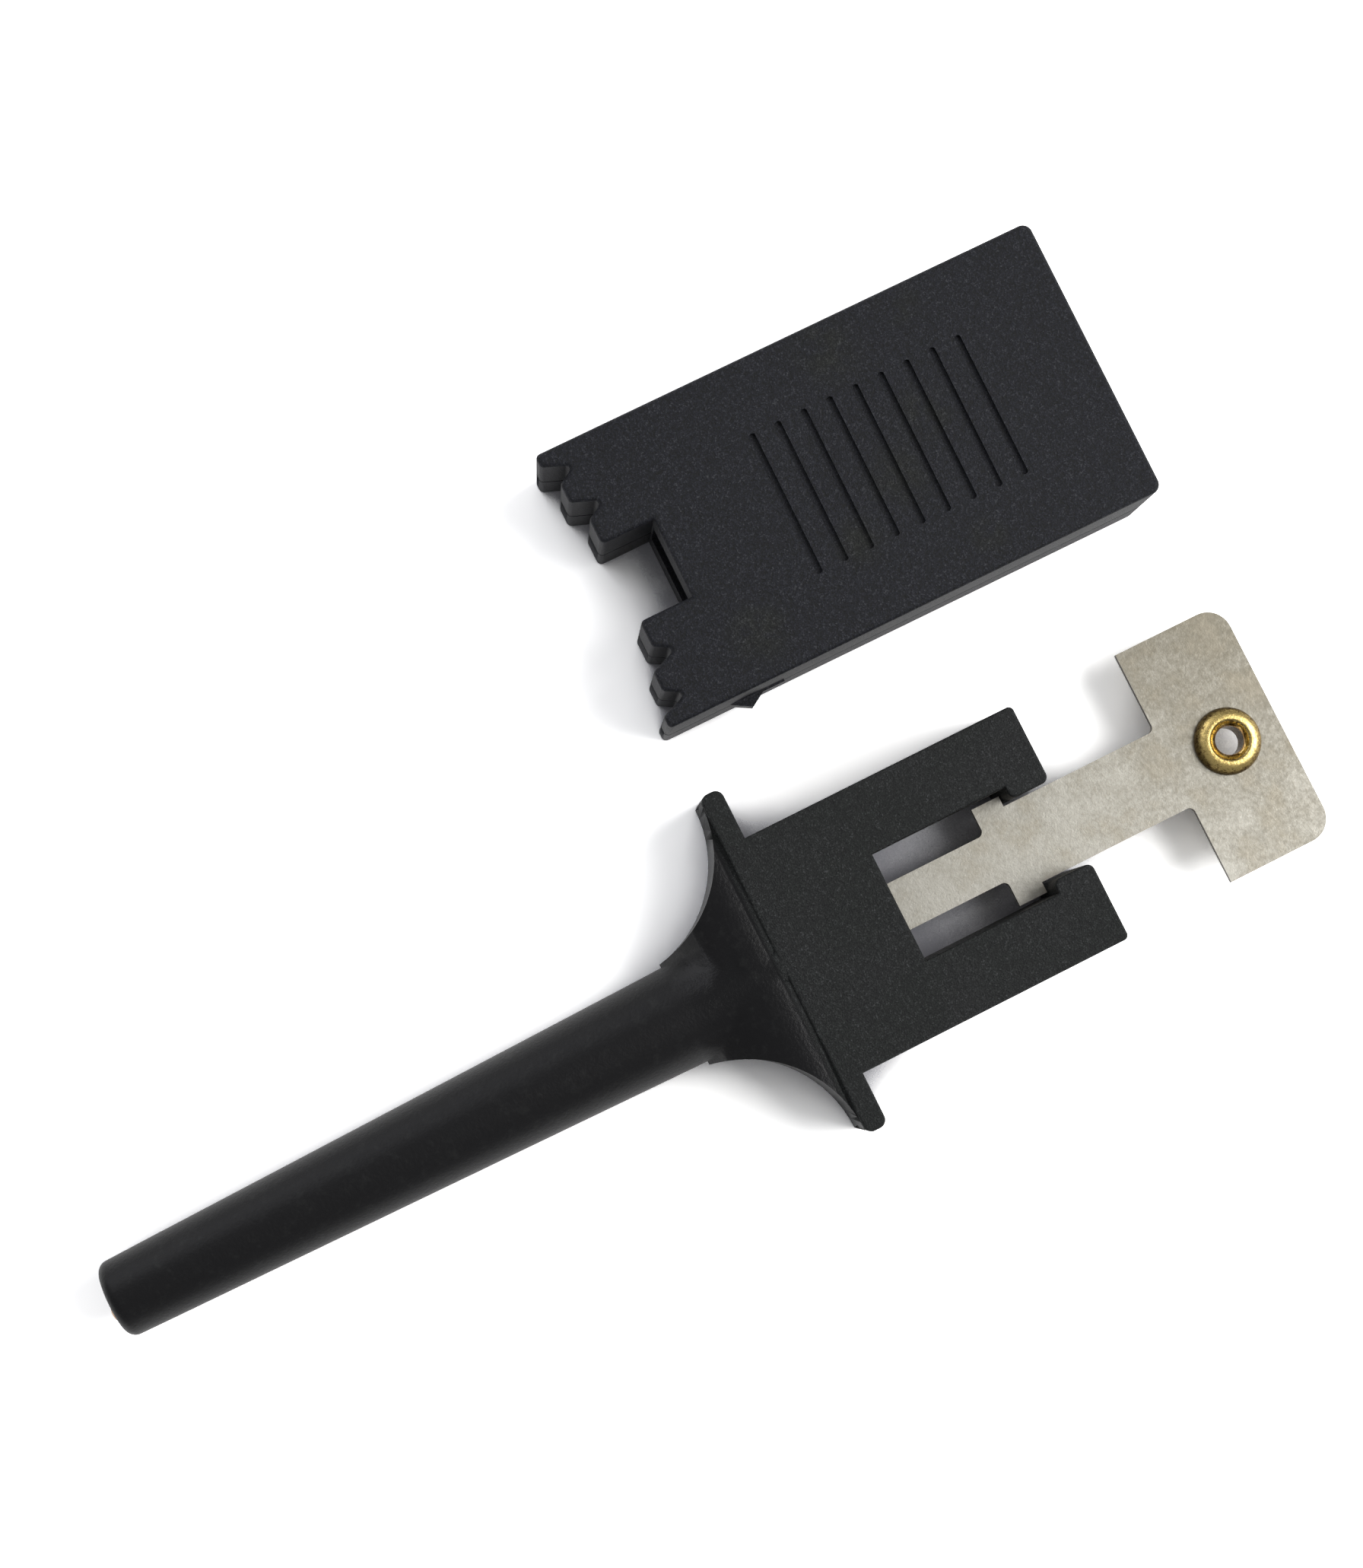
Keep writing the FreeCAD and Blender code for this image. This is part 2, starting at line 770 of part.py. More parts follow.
def cut_cap_inside(body, s, at, inner_half, inner_height, middle):
    """The pocket from the mouth, the thin slot beyond it, and the channel to the wire notch."""
    slot_height = s["strip_thickness"] + s["slot_clearance"] * 2
    slot_half = s["plate_width"] / 2 - s["head_inset"] + s["slot_clearance"]
    inside = at.head_back - at.flange_back - s["hook_travel"] - s["press_gap"]
    pocket_depth = s["plate_length"] + s["pocket_spare"]
    rim_top = s["strip_thickness"] / 2 + s["eyelet_rim_height"]
    channel_height = (rim_top + s["channel_clearance"]) * 2
    cuts = [
        ("plate_pocket", inner_half, inner_height, pocket_depth),
        ("head_slot", slot_half, slot_height, inside),
        ("wire_channel", s["channel_width"] / 2, channel_height, s["cap_length"]),
    ]
    for name, half, tall, depth in cuts:
        mouth = new_sketch(body, f"{name}_section", "YZ_Plane", s["cap_length"])
        draw_path(mouth, box_corners(-half, half, middle - tall / 2, middle + tall / 2))
        pocket(body, name, mouth, depth)


def cut_grips(body, s, height):
    """Nine round-ended grooves across each face."""
    half = s["grip_width"] / 2
    radius = half * GRIP_END_RADIUS
    bow = half * (GRIP_END_RADIUS - (GRIP_END_RADIUS**2 - 1) ** 0.5)
    reach = s["grip_length"] / 2 - bow
    low, high = s["grip_start"] - half, s["grip_start"] + half
    for face, level, back in (("top", height, False), ("under", None, True)):
        groove = new_sketch(body, f"{face}_grip_plan", "XY_Plane", level)
        draw_path(
            groove,
            [
                (low, -reach),
                (high, -reach, s["grip_start"], -reach - bow, radius),
                (high, reach),
                (low, reach, s["grip_start"], reach + bow, radius),
            ],
        )
        cut = pocket(body, f"{face}_grip", groove, s["grip_depth"], back=back)
        row = body.newObject("PartDesign::LinearPattern", f"{face}_grips")
        row.Originals = [cut]
        row.Direction = (groove, ["H_Axis"])
        row.Occurrences = GRIP_COUNT
        bind(row, Length=s["grip_pitch"] * (GRIP_COUNT - 1))
        body.Tip = row
        doc.recompute()


def check(parts):
    """Stops before anything is written if an object failed or a sub-part isn't one sound solid."""
    for thing in doc.Objects:
        if "Invalid" in thing.State or "Error" in thing.State:
            raise RuntimeError(f"{thing.Name} is {thing.State}")
    for part in parts:
        shape = part.Shape
        if shape.isNull() or not shape.isValid() or len(shape.Solids) != 1:
            raise RuntimeError(f"{part.Label} isn't one valid solid")


def main():
    sizes = fill_sheet()
    at = Layout(sizes)
    parts = [
        make_clip_body(sizes, at),
        make_contact_strip(sizes, at),
        make_eyelet(sizes, at),
        make_crimp_sleeve(sizes, at),
        make_hook_wire(sizes, at),
        make_return_spring(sizes, at),
        make_cap(sizes, at),
    ]
    doc.recompute()
    check(parts)
    os.makedirs("parts", exist_ok=True)
    for part in parts:
        part.Shape.exportStep(f"parts/{part.Label}.step")
        box = part.Shape.BoundBox
        print(
            f"{part.Label}: {part.Shape.Volume:.3f} mm3,",
            f"x {box.XMin:.2f} to {box.XMax:.2f},",
            f"y {box.YMin:.2f} to {box.YMax:.2f},",
            f"z {box.ZMin:.2f} to {box.ZMax:.2f}",
        )


main()
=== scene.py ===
# %% [markdown]
# A flat test hook clip, photographed from above with its cap pulled off and laid beside it.

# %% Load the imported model
import json
import math

import bmesh
import bpy
from mathutils import Matrix, Vector


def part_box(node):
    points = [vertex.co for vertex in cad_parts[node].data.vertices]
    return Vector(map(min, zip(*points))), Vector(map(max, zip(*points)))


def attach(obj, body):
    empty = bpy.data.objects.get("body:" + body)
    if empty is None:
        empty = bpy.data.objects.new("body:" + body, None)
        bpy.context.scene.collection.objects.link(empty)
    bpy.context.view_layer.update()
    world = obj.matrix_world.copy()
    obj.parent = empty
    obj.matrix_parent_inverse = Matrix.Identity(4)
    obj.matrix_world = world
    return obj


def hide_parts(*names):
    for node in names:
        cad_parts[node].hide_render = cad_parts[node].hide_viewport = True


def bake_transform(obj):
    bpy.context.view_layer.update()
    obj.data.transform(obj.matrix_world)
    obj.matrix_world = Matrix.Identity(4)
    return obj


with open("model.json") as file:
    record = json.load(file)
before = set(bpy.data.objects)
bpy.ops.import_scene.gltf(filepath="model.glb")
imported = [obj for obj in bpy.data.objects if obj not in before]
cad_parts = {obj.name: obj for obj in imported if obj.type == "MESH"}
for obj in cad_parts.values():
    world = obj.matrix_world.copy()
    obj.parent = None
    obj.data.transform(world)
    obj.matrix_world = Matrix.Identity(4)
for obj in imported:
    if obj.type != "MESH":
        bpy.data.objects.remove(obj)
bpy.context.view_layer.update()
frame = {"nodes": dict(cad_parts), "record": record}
MM = 0.001
body_of_node = {
    node: body for body, nodes in frame["record"]["behaviour"]["bodies"].items() for node in nodes
}

# %% [markdown]
# The photo was taken from almost straight above, about 12 cm away, with the clip running up to the
# right. A camera can be aimed with a constraint, but here its three axes are known, so they are
# written straight into its matrix: right, up, and back towards the lens. The lens length follows
# from the picture's height in pixels, because the sensor is fitted to that side.

# %% Camera
PICTURE_HEIGHT = 2061
FOCAL_PIXELS = 3903.5
SENSOR_MM = 24.0
EYE = Vector((-9.906, 1.684, 117.48)) * MM
AIM = Vector((-0.628, 8.072, 2.1)) * MM
PICTURE_RIGHT = Vector((0.89285, -0.4479, 0.047))


def axes_matrix(eye, aim, right_hint):
    """A matrix whose columns are right, up and back, placed at the eye."""
    back = (eye - aim).normalized()
    right = (right_hint - back * right_hint.dot(back)).normalized()
    up = back.cross(right)
    return Matrix.Translation(eye) @ Matrix((right, up, back)).transposed().to_4x4()


lens = bpy.data.cameras.new("photo_lens")
lens.sensor_fit = "VERTICAL"
lens.sensor_height = SENSOR_MM
lens.lens = FOCAL_PIXELS * SENSOR_MM / PICTURE_HEIGHT
lens.clip_start = 0.001
lens.clip_end = 20.0
camera = bpy.data.objects.new("photo_camera", lens)
camera.matrix_world = axes_matrix(EYE, AIM, PICTURE_RIGHT)
bpy.context.scene.collection.objects.link(camera)
bpy.context.scene.camera = camera
bpy.context.scene.view_settings.view_transform = "Standard"
print("lens", round(lens.lens, 2), "mm")

# %% [markdown]
# Finishes are sums of patterns. Wiring Math nodes by hand hides the sum, so a small class wraps an
# output socket and adds the Math node whenever Python's own operators are used on it. Everything
# that isn't arithmetic comes from one method, node(), which takes the node's type, its settings
# and the values or links of its sockets.


# %% Shader arithmetic
class Value:
    """An output socket on which Python's operators add Math nodes."""

    def __init__(self, finish, socket):
        self.finish = finish
        self.socket = socket

    def math(self, operation, *others):
        return self.finish.node("ShaderNodeMath", {"operation": operation}, [self, *others])

    def flipped(self, operation, other):
        return self.finish.node("ShaderNodeMath", {"operation": operation}, [other, self])

    def __add__(self, other):
        return self.math("ADD", other)

    def __mul__(self, other):
        return self.math("MULTIPLY", other)

    def __sub__(self, other):
        return self.math("SUBTRACT", other)

    def __rsub__(self, other):
        return self.flipped("SUBTRACT", other)

    def __pow__(self, other):
        return self.math("POWER", other)

    __radd__ = __add__
    __rmul__ = __mul__


class Finish:
    """A material under construction, with its patterns measured in millimetres."""

    def __init__(self, name):
        self.material = bpy.data.materials.new(name)
        self.material.use_nodes = True
        self.tree = self.material.node_tree
        self.tree.nodes.clear()
        place = self.node("ShaderNodeTexCoord", {}, {}, "Object")
        self.place = self.node(
            "ShaderNodeVectorMath", {"operation": "SCALE"}, {0: place, "Scale": 1 / MM}
        )
        axes = self.node("ShaderNodeSeparateXYZ", {}, [self.place])
        self.x, self.y, self.z = (Value(self, out) for out in axes.socket.node.outputs)

    def node(self, kind, settings, sockets, output=0):
        """Adds a node: its type, its settings, the values or links of its inputs."""
        made = self.tree.nodes.new(kind)
        for name, setting in settings.items():
            setattr(made, name, setting)
        listed = sockets.items() if isinstance(sockets, dict) else enumerate(sockets)
        for where, value in listed:
            if isinstance(value, Value):
                self.tree.links.new(value.socket, made.inputs[where])
            else:
                made.inputs[where].default_value = value
        return Value(self, made.outputs[output]) if made.outputs else None

    def noise(self, per_mm, detail=2.0, roughness=0.5, stretch=None, seed=0.0):
        """Smooth noise with so many features to the millimetre."""
        place = self.place
        if stretch is not None:
            place = self.node(
                "ShaderNodeVectorMath", {"operation": "MULTIPLY"}, [place, stretch]
            )
        return self.node(
            "ShaderNodeTexNoise",
            {"noise_dimensions": "4D"},
            {"Vector": place, "W": seed, "Scale": per_mm, "Detail": detail, "Roughness": roughness},
        )

    def ease(self, value, low, high, start=0.0, end=1.0):
        """Moves from start to end while the value goes from low to high."""
        return self.node(
            "ShaderNodeMapRange",
            {"interpolation_type": "SMOOTHSTEP"},
            [value, low, high, start, end],
        )

    def spot(self, centre, radius, soft):
        """A soft-edged round mask about a point, given in millimetres."""
        away = self.node(
            "ShaderNodeVectorMath", {"operation": "DISTANCE"}, [self.place, centre], "Value"
        )
        return self.ease(away, radius - soft, radius + soft, 1.0, 0.0)

    def mix(self, factor, first, second):
        """The first colour turning into the second as the factor goes to 1."""
        colours = [
            colour if isinstance(colour, Value) else (*colour, 1) for colour in (first, second)
        ]
        return self.node(
            "ShaderNodeMix",
            {"data_type": "RGBA"},
            {0: factor, 6: colours[0], 7: colours[1]},
            2,
        )

    def bump(self, height, depth_mm):
        """Turns a height into a normal; depth is how far a height of 1 stands out."""
        sockets = {"Height": height, "Distance": depth_mm * MM, "Strength": 1.0}
        return self.node("ShaderNodeBump", {}, sockets)

    def surface(self, **sockets):
        """Ends the material in a Principled shader with these sockets."""
        named = {name.replace("_", " "): value for name, value in sockets.items()}
        shader = self.node("ShaderNodeBsdfPrincipled", {}, named)
        self.node("ShaderNodeOutputMaterial", {}, {"Surface": shader})
        return self.material


print("shader arithmetic ready")

# %% [markdown]
# The clip lies on white paper in a light tent. The camera leaves the tent dark straight above, and
# a large soft panel leans over the wire end, so the black faces grow lighter towards that end. The
# paper was exposed past white, so its grey shows only in corners that see little of the tent, such
# as the window and the notch; there an ambient occlusion mask paints the paper grey, as painted
# shade. The paper takes these tones for camera and transmission rays, and in part for glossy ones,
# which keeps its shadows and adds no light to the clip. Seen from below, the sheet lets the view
# through, so that the pieces' undersides can be looked at.

# %% World, floor and lamps
WHITE = (1.0, 1.0, 1.0, 1.0)
WORLD_LEVEL = 0.37
PAPER_COLOUR = 0.9
PAPER_SEEN = 2.1
FAR_SEEN = 3.2
GLOSSY_SHARE = 0.3
CORNER_SHADE_TONE = (0.36, 0.36, 0.40)
CORNER_REACH = 4.0
CORNER_RAYS = 8
CLOSED, OPEN = 0.33, 0.57  # how much sky a corner sees where it is darkest, and where it is white
SHEET_MIDDLE = (0, 5, 0)
NEAR_RADIUS, NEAR_SOFT = 200, 120
CLIP_MIDDLE = (0, 5, 2)
LAMP_RIGHT = (1, 0.3, 0)

world = bpy.data.worlds.new("tent")
bpy.context.scene.world = world
world.use_nodes = True
nodes, links = world.node_tree.nodes, world.node_tree.links
nodes.clear()
sky = nodes.new("ShaderNodeBackground")
sky.inputs["Color"].default_value = WHITE
sky.inputs["Strength"].default_value = WORLD_LEVEL
backdrop = nodes.new("ShaderNodeBackground")
backdrop.inputs["Color"].default_value = WHITE
rays = nodes.new("ShaderNodeLightPath")
chooser = nodes.new("ShaderNodeMixShader")
out = nodes.new("ShaderNodeOutputWorld")
links.new(rays.outputs["Is Camera Ray"], chooser.inputs[0])
links.new(sky.outputs[0], chooser.inputs[1])
links.new(backdrop.outputs[0], chooser.inputs[2])
links.new(chooser.outputs[0], out.inputs[0])

FLOOR_HALF = 3.0
FLOOR_Z = -0.01 * MM
floor_mesh = bpy.data.meshes.new("paper_sheet")
corners = [(-1, -1), (1, -1), (1, 1), (-1, 1)]
floor_points = [(x * FLOOR_HALF, y * FLOOR_HALF, FLOOR_Z) for x, y in corners]
floor_mesh.from_pydata(floor_points, [], [(0, 1, 2, 3)])
floor = bpy.data.objects.new("paper_sheet", floor_mesh)
bpy.context.scene.collection.objects.link(floor)

paper = Finish("white_paper")
seen, glossy, clear = (
    paper.node("ShaderNodeLightPath", {}, {}, f"Is {kind} Ray")
    for kind in ("Camera", "Glossy", "Transmission")
)
open_sky = paper.node(
    "ShaderNodeAmbientOcclusion", {"samples": CORNER_RAYS}, {"Distance": CORNER_REACH * MM}, "AO"
)
near = paper.spot(SHEET_MIDDLE, NEAR_RADIUS, NEAR_SOFT)
lit_tone = paper.mix(near, (FAR_SEEN,) * 3, (PAPER_SEEN,) * 3)
# painted shade: the paper turns grey where the occlusion mask finds little open sky
seen_tone = paper.mix(paper.ease(open_sky, CLOSED, OPEN), CORNER_SHADE_TONE, lit_tone)
shown = paper.mix(seen + clear + glossy * GLOSSY_SHARE, (PAPER_COLOUR,) * 3, seen_tone)
matte = paper.node("ShaderNodeBsdfDiffuse", {}, {"Color": shown})
hole = paper.node("ShaderNodeBsdfTransparent", {}, {})
from_below = paper.node("ShaderNodeNewGeometry", {}, {}, "Backfacing")
sheet = paper.node("ShaderNodeMixShader", {}, [from_below, matte, hole])
paper.node("ShaderNodeOutputMaterial", {}, {"Surface": sheet})
floor_mesh.materials.append(paper.material)


def soft_lamp(name, place, size, watts, colour):
    """A square area lamp, placed and sized in millimetres and aimed at the clip's middle."""
    light = bpy.data.lights.new(name, "AREA")
    light.shape = "SQUARE"
    light.size = size * MM
    light.energy = watts
    light.color = colour
    lamp = bpy.data.objects.new(name, light)
    lamp.matrix_world = axes_matrix(
        Vector(place) * MM, Vector(CLIP_MIDDLE) * MM, Vector(LAMP_RIGHT)
    )
    bpy.context.scene.collection.objects.link(lamp)


soft_lamp("right_panel", (200, -52, 212), 200, 0.85, (1.0, 0.995, 0.985))
soft_lamp("far_panel", (-80, 235, 165), 220, 0.26, (0.95, 0.96, 1.0))
print("world", WORLD_LEVEL, "floor", FLOOR_HALF * 2, "m")

# %% [markdown]
# A CAD node comes in as loose triangles, which shade as facets. A copy whose corners are merged
# can be shaded smooth. Edges sharper than the angle stay sharp, and weighted normals keep the large
# flat faces flat where they meet a small fillet. The copy stands for the node and rides its body.

# %% Clean copies of the CAD nodes
MERGE_REACH = 2e-7
FLAT_DEGREES = 0.05
SHARP_DEGREES = 32


def clean_copy(node, name, finish):
    """A merged, smooth copy of a CAD node with a finish, riding where the node rides."""
    mesh = frame["nodes"][node].data.copy()
    mesh.name = name
    work = bmesh.new()
    work.from_mesh(mesh)
    bmesh.ops.remove_doubles(work, verts=work.verts, dist=MERGE_REACH)
    bmesh.ops.dissolve_degenerate(work, edges=work.edges, dist=MERGE_REACH)
    bmesh.ops.dissolve_limit(
        work, angle_limit=math.radians(FLAT_DEGREES), verts=work.verts, edges=work.edges
    )
    work.to_mesh(mesh)
    open_edges = sum(1 for edge in work.edges if not edge.is_manifold)
    work.free()
    mesh.polygons.foreach_set("use_smooth", [True] * len(mesh.polygons))
    mesh.set_sharp_from_angle(angle=math.radians(SHARP_DEGREES))
    mesh.materials.clear()
    mesh.materials.append(finish)
    piece = bpy.data.objects.new(name, mesh)
    bpy.context.scene.collection.objects.link(piece)
    even = piece.modifiers.new("even_normals", "WEIGHTED_NORMAL")
    even.keep_sharp = True
    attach(piece, body_of_node[node])
    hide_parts(node)
    print(name, len(mesh.polygons), "faces,", open_edges, "open edges")


# %% [markdown]
# Both mouldings are the same sort of black plastic. Their mould was spark eroded, which leaves a
# fine grain; in its colour, tiny bright specks are painted highlights where a pit's rim catches the
# light, and its dark pits are painted shade. The barrel and the gussets were polished instead, so a
# mask along the clip's axis ends the grain in front of the flange, and only faint flecks of wear
# are left there; their polished tone is also darker, as painted shade on the barrel and gussets.
# The cap has a few greenish smudges on its face, and a dark line along its mould's parting groove,
# painted shade in the groove.

# %% Black plastic
# painted highlight and painted shade: tones of the grain's bright specks and dark pits
PAINTED_GLINT_TONE = (0.046, 0.048, 0.051)
PAINTED_PIT_SHADE_TONE = (0.004, 0.0045, 0.005)
# darker than the grained tone, as painted shade on the barrel and the gussets
POLISHED_SHADED_TONE = (0.0052, 0.0052, 0.0060)
RUBBED_TONE = (0.0105, 0.0108, 0.0112)
# the parting groove's tone, painted shade
SEAM_SHADE_TONE = (0.001, 0.001, 0.001)
COARSE_PER_MM, FINE_PER_MM, RUBBED_PER_MM = 7.5, 16.0, 2.2
GRAIN_DEPTH = 0.07
PLASTIC_SPECULAR = 0.22


def black_plastic(finish, tone, smudge, smudged, polished=0.0, sleek=0.0, seam_shade=0.0):
    """Moulded black plastic; the smudge, polish, sleek and seam masks go from 0 to 1, and the seam
    mask paints shade along the parting groove.
    """
    coarse = finish.noise(COARSE_PER_MM, detail=3.0, roughness=0.65)
    fine = finish.noise(FINE_PER_MM, detail=2.0, roughness=0.7, seed=1.0)
    grain = coarse * 0.4 + fine * 0.6
    grained = 1.0 - polished
    shade = finish.mix(smudged, tone, smudge)
    # painted shade in the grain's pits, then painted highlights on its specks
    shade = finish.mix(finish.ease(grain, 0.58, 0.40), shade, PAINTED_PIT_SHADE_TONE)
    shade = finish.mix(finish.ease(grain, 0.53, 0.68), shade, PAINTED_GLINT_TONE)
    rubbed = finish.noise(RUBBED_PER_MM, detail=4.0, roughness=0.7, seed=6.0)
    # real flecks of wear on a polished tone that is darkened as painted shade
    worn_and_shaded_smooth = finish.mix(finish.ease(rubbed, 0.5, 0.72), POLISHED_SHADED_TONE, RUBBED_TONE)
    shade = finish.mix(polished, shade, worn_and_shaded_smooth)
    # painted shade along the parting groove
    shade = finish.mix(seam_shade, shade, SEAM_SHADE_TONE)
    return finish.surface(
        Base_Color=shade,
        Roughness=coarse * 0.1 + (polished * 0.38 + grained * 0.47) - sleek * 0.12,
        Normal=finish.bump(grain * grained + coarse * polished * 0.25, GRAIN_DEPTH),
        Specular_IOR_Level=PLASTIC_SPECULAR,
    )


# %% Clip moulding and cap moulding
SMUDGES = [
    (11.6, 20.4, 1.1),
    (14.9, 20.8, 0.7),
    (13.9, 16.5, 0.9),
    (11.9, 14.8, 1.0),
    (9.4, 13.2, 0.8),
    (14.0, 11.2, 0.6),
    (4.4, 11.8, 1.0),
]
CAP_TOP = 5.4
SEAM_HEIGHT, SEAM_HALF = 2.3, 0.16
POLISHED_EDGE = (-0.78, -0.56)
SLEEK_EDGE = (-4.8, -3.4)

body_plastic = Finish("black_body_plastic")
in_front = body_plastic.ease(body_plastic.x, *POLISHED_EDGE, 1.0, 0.0)
body_surface = black_plastic(
    body_plastic,
    tone=(0.0094, 0.0116, 0.0105),
    smudge=(0.0128, 0.0140, 0.0142),
    smudged=body_plastic.ease(body_plastic.noise(0.3, seed=3.0), 0.4, 0.68),
    polished=in_front,
    sleek=in_front * body_plastic.ease(body_plastic.x, *SLEEK_EDGE),
)
clean_copy("clip_body", "clip_moulding", body_surface)

cap_plastic = Finish("black_cap_plastic")
smudged = 0.0
for x, y, radius in SMUDGES:
    smudged = cap_plastic.spot((x, y, CAP_TOP), radius, radius * 0.7) * 0.8 + smudged
# a band around the parting groove, where shade is painted
above_seam = cap_plastic.ease(cap_plastic.z, SEAM_HEIGHT - SEAM_HALF, SEAM_HEIGHT)
below_seam = cap_plastic.ease(cap_plastic.z, SEAM_HEIGHT, SEAM_HEIGHT + SEAM_HALF, 1.0, 0.0)
cap_surface = black_plastic(
    cap_plastic,
    tone=(0.0092, 0.0101, 0.0160),
    smudge=(0.0145, 0.0160, 0.0118),
    smudged=smudged * cap_plastic.ease(cap_plastic.noise(1.5, seed=5.0), 0.3, 0.6),
    seam_shade=above_seam * below_seam,
)
clean_copy("cap", "cap_moulding", cap_surface)

# %% [markdown]
# The strip is stamped from brass sheet and plated with dull nickel, tarnished and stained by
# handling. Metal has no colour of its own under the light, so the base colour holds the stains:
# three noises of different size. A slope over the head, darker towards its far end and far side,
# is painted shade where the head's light falls off. Its cut edges are given a darker tone.

# %% Plated strip
CUT_EDGE = (2.0, 2.19)
CUT_SOFT = 0.03
CUT_TONE = (0.10, 0.09, 0.085)
CLEAN_TONE, TARNISH_AND_SHADE_TONE = (0.47, 0.455, 0.41), (0.215, 0.197, 0.155)
WARM_TONE = (0.40, 0.36, 0.285)

nickel = Finish("nickel_strip")
stain = nickel.noise(0.6, detail=3.0, roughness=0.6)
mottle = nickel.noise(5.0, detail=3.0, roughness=0.65, seed=4.0)
pitted = nickel.noise(13.0, detail=2.0, roughness=0.7, seed=2.0)
# painted shade: this slope over the head darkens its far end and far side; the noises added next
# are real tarnish
tarnish_and_head_shade = nickel.ease(nickel.x, 9.0, 22.0, 0.0, 0.62) + nickel.y * 0.055
tarnish_and_head_shade = tarnish_and_head_shade + (stain - 0.5) * 1.3 + (mottle - 0.5) * 0.75 + (pitted - 0.5) * 0.7
plated = nickel.mix(nickel.ease(tarnish_and_head_shade, -0.5, 1.1), CLEAN_TONE, TARNISH_AND_SHADE_TONE)
warm = nickel.mix(nickel.ease(stain, 0.48, 0.68, 0.0, 0.3), plated, WARM_TONE)
low, high = CUT_EDGE
over_low = nickel.ease(nickel.z, low, low + CUT_SOFT)
under_high = nickel.ease(nickel.z, high, high + CUT_SOFT, 1.0, 0.0)
cut = over_low * under_high
nickel_surface = nickel.surface(
    Base_Color=nickel.mix(cut, warm, CUT_TONE),
    Metallic=1.0,
    Roughness=nickel.ease(mottle, 0.3, 0.7, 0.42, 0.56),
    Normal=nickel.bump(mottle * 0.5 + pitted * 0.5, 0.012),
)
clean_copy("contact_strip", "plated_strip", nickel_surface)

# %% [markdown]
# The eyelet is a short brass tube, rolled over at both ends until it grips the strip. Its crest
# keeps the bright brass tone, while the bore, a ring in the roll and the foot of the roll are
# painted brown, as painted shade; noise adds stains of its own. The colour follows the distance
# from the eyelet's axis, broken up by noise.

# %% Eyelet
EYELET_X = 19.395
BRIGHT_BRASS, BROWN_BRASS_AND_SHADE = (0.70, 0.53, 0.20), (0.11, 0.065, 0.025)

brass = Finish("rolled_brass")
worn = brass.noise(7.0, detail=4.0, roughness=0.75)
from_axis = ((brass.x - EYELET_X) ** 2.0 + brass.y ** 2.0) ** 0.5 + (worn - 0.5) * 0.4
# painted shade: the foot of the roll, a ring in it and the bore turn brown; the noise below adds
# real stains
foot_shade = brass.ease(from_axis, 0.95, 1.4, 0.0, 0.85)
bore_shade = brass.ease(from_axis, 0.62, 0.70, 1.0, 0.0)
groove_shade = brass.ease(from_axis, 0.74, 0.80) * brass.ease(from_axis, 0.80, 0.88, 0.7, 0.0)
stained = brass.ease(worn, 0.5, 0.64, 0.0, 0.5)
brass_surface = brass.surface(
    Base_Color=brass.mix(foot_shade + bore_shade + groove_shade + stained, BRIGHT_BRASS, BROWN_BRASS_AND_SHADE),
    Metallic=1.0,
    Roughness=brass.ease(worn, 0.3, 0.7, 0.16, 0.38),
    Normal=brass.bump(worn, 0.022),
)
clean_copy("eyelet", "rolled_eyelet", brass_surface)

# %% [markdown]
# The sleeve and the wire are hidden in the barrel, except for the hook's end. The sleeve is turned
# brass with fine rings round it, and the wire is drawn bronze with fine lines along it.

# %% Sleeve and hook wire
turned = Finish("sleeve_brass")
rings = turned.noise(3.0, detail=1.0, stretch=(12.0, 0.2, 0.2))
turned_surface = turned.surface(
    Base_Color=turned.mix(rings, (0.70, 0.55, 0.28), (0.78, 0.64, 0.36)),
    Metallic=1.0,
    Roughness=turned.ease(rings, 0.3, 0.7, 0.24, 0.34),
    Normal=turned.bump(rings, 0.004),
)
clean_copy("crimp_sleeve", "turned_sleeve", turned_surface)

bronze = Finish("hook_wire_metal")
drawn = bronze.noise(5.0, detail=2.0, stretch=(0.15, 1.5, 1.5))
bronze_surface = bronze.surface(
    Base_Color=bronze.mix(drawn, (0.52, 0.33, 0.21), (0.66, 0.46, 0.30)),
    Metallic=1.0,
    Roughness=bronze.ease(drawn, 0.3, 0.7, 0.28, 0.42),
    Normal=bronze.bump(drawn, 0.003),
)
clean_copy("hook_wire", "drawn_hook_wire", bronze_surface)

# %% [markdown]
# The return spring is wound from fine steel wire, with its end coils closed so that they sit flat.
# A coil follows a rule, so Geometry Nodes make it: a line is resampled, each point's share of the
# way gives its angle and its place along the axis, and a round profile is swept along the result.

# %% Spring finish
spring_steel = Finish("spring_steel")
wound = spring_steel.noise(6.0, detail=2.0)
spring_surface = spring_steel.surface(
    Base_Color=spring_steel.mix(wound, (0.50, 0.51, 0.53), (0.60, 0.61, 0.63)),
    Metallic=1.0,
    Roughness=spring_steel.ease(wound, 0.3, 0.7, 0.24, 0.36),
    Normal=spring_steel.bump(wound, 0.002),
)
print("spring finish", spring_surface.name)


# %% Spring tree
COIL_POINTS = 481
WIRE_SIDES = 12
STACKED_WIRES = 2.04  # how far apart closed coils lie, in wire radii


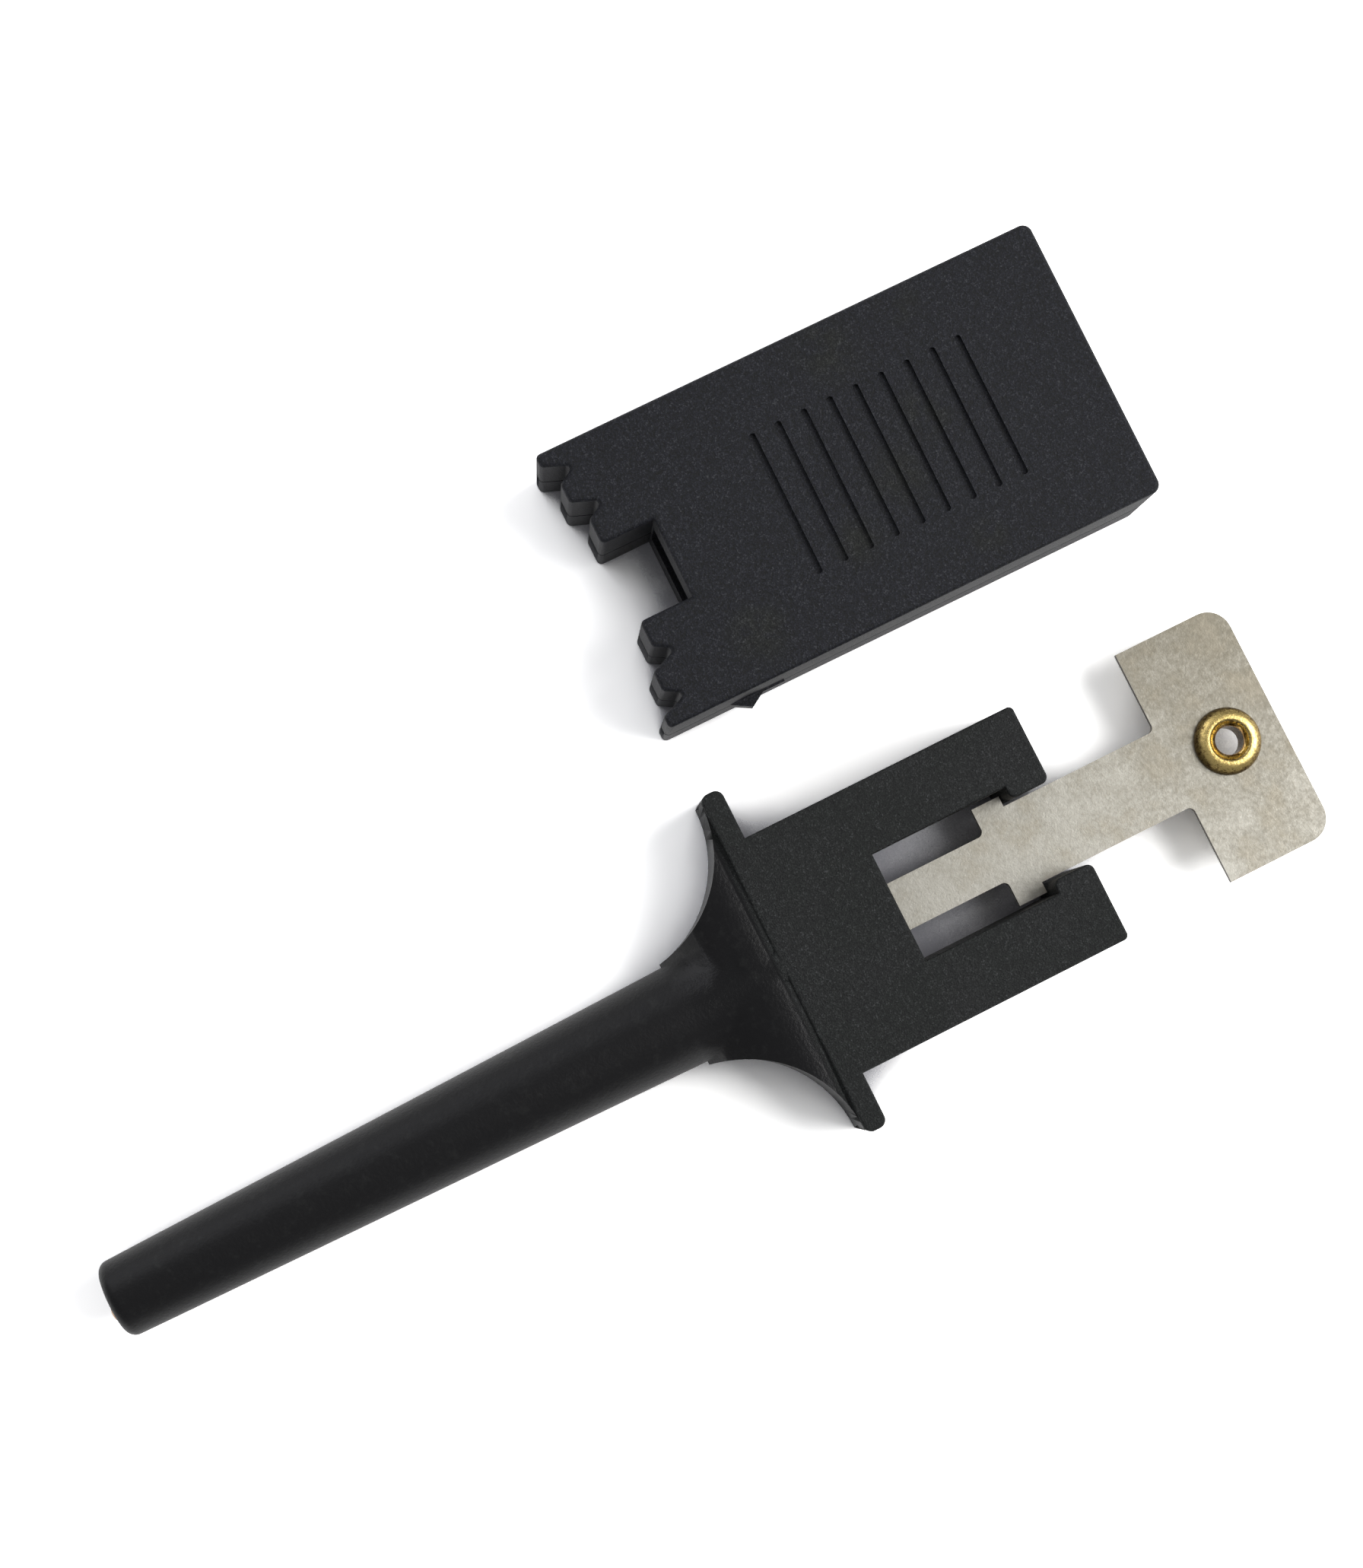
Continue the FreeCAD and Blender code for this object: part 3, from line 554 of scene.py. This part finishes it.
class CoilTree:
    """The spring's geometry tree, with a short way to add and link nodes."""

    def __init__(self, name):
        self.tree = bpy.data.node_groups.new(name, "GeometryNodeTree")
        self.face = self.tree.interface

    def input(self, name, kind):
        self.face.new_socket(name=name, in_out="INPUT", socket_type=kind)

    def node(self, kind, settings, sockets, output=0):
        made = self.tree.nodes.new(kind)
        for name, setting in settings.items():
            setattr(made, name, setting)
        listed = sockets.items() if isinstance(sockets, dict) else enumerate(sockets)
        for where, value in listed:
            if isinstance(value, bpy.types.NodeSocket):
                self.tree.links.new(value, made.inputs[where])
            else:
                made.inputs[where].default_value = value
        return made.outputs[output]

    def math(self, operation, *terms):
        return self.node("ShaderNodeMath", {"operation": operation}, list(terms))


def build_coil_tree():
    """A helix along X with closed end coils, swept by a round wire."""
    coil = CoilTree("wound_coil")
    for name in ("start", "length", "coil radius", "wire radius", "coils", "closed coils"):
        coil.input(name, "NodeSocketFloat")
    coil.input("steel", "NodeSocketMaterial")
    coil.face.new_socket(name="mesh", in_out="OUTPUT", socket_type="NodeSocketGeometry")
    given = coil.tree.nodes.new("NodeGroupInput").outputs
    line = coil.node("GeometryNodeCurvePrimitiveLine", {}, {"End": (1.0, 0.0, 0.0)})
    points = coil.node("GeometryNodeResampleCurve", {}, {"Curve": line, "Count": COIL_POINTS})
    share = coil.node("GeometryNodeSplineParameter", {}, {}, "Factor")
    turns = coil.math("MULTIPLY", share, given["coils"])
    left = coil.math("SUBTRACT", given["coils"], turns)
    closed = given["closed coils"]
    near = coil.math("MINIMUM", turns, closed)
    far = coil.math("SUBTRACT", closed, coil.math("MINIMUM", left, closed))
    open_coils = coil.math("SUBTRACT", given["coils"], coil.math("MULTIPLY", closed, 2.0))
    middle = coil.math("SUBTRACT", coil.math("SUBTRACT", turns, near), far)
    wire = coil.math("MULTIPLY", given["wire radius"], STACKED_WIRES)
    stacked = coil.math("MULTIPLY", wire, coil.math("ADD", near, far))
    both_ends = coil.math("MULTIPLY", wire, coil.math("MULTIPLY", closed, 2.0))
    pitch = coil.math("DIVIDE", coil.math("SUBTRACT", given["length"], both_ends), open_coils)
    along = coil.math("ADD", stacked, coil.math("MULTIPLY", middle, pitch))
    x = coil.math("ADD", given["start"], along)
    angle = coil.math("MULTIPLY", turns, 2 * math.pi)
    y = coil.math("MULTIPLY", given["coil radius"], coil.math("COSINE", angle))
    z = coil.math("MULTIPLY", given["coil radius"], coil.math("SINE", angle))
    place = coil.node("ShaderNodeCombineXYZ", {}, [x, y, z])
    helix = coil.node("GeometryNodeSetPosition", {}, {"Geometry": points, "Position": place})
    profile = coil.node(
        "GeometryNodeCurvePrimitiveCircle",
        {},
        {"Resolution": WIRE_SIDES, "Radius": given["wire radius"]},
    )
    swept = coil.node(
        "GeometryNodeCurveToMesh", {}, {"Curve": helix, "Profile Curve": profile, "Fill Caps": True}
    )
    real = coil.node("GeometryNodeRealizeInstances", {}, [swept])
    painted = coil.node(
        "GeometryNodeSetMaterial", {}, {"Geometry": real, "Material": given["steel"]}
    )
    result = coil.tree.nodes.new("NodeGroupOutput")
    coil.tree.links.new(painted, result.inputs[0])
    return coil.tree


coil_tree = build_coil_tree()
print("coil tree", len(coil_tree.nodes), "nodes")

# %% Spring
WIRE_RADIUS = 0.11 * MM
COILS = 12.0
CLOSED_COILS = 1.0
spring_low, spring_high = (Vector(corner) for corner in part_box("return_spring"))
spring_axis = (spring_low + spring_high) / 2
spring_start = spring_low.x + WIRE_RADIUS
spring_length = spring_high.x - spring_low.x - 2 * WIRE_RADIUS
coil_radius = (spring_high.z - spring_low.z) / 2 - WIRE_RADIUS

carrier = bpy.data.objects.new("coil_carrier", bpy.data.meshes.new("coil_carrier"))
bpy.context.scene.collection.objects.link(carrier)
winder = carrier.modifiers.new("winder", "NODES")
winder.node_group = coil_tree
sizes = {
    "start": spring_start,
    "length": spring_length,
    "coil radius": coil_radius,
    "wire radius": WIRE_RADIUS,
    "coils": COILS,
    "closed coils": CLOSED_COILS,
    "steel": spring_surface,
}
for item in coil_tree.interface.items_tree:
    if item.in_out == "INPUT" and item.name in sizes:
        winder[item.identifier] = sizes[item.name]
bpy.context.view_layer.update()
graph = bpy.context.evaluated_depsgraph_get()
spring_mesh = bpy.data.meshes.new_from_object(carrier.evaluated_get(graph))
bpy.data.objects.remove(carrier)
spring_mesh.name = "wound_spring"
spring_mesh.transform(Matrix.Translation((0.0, spring_axis.y, spring_axis.z)))
spring_mesh.polygons.foreach_set("use_smooth", [True] * len(spring_mesh.polygons))
spring = bpy.data.objects.new("wound_spring", spring_mesh)
bpy.context.scene.collection.objects.link(spring)
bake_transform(spring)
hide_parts("return_spring")
print("spring", len(spring_mesh.polygons), "faces, radius", round(coil_radius / MM, 3), "mm")
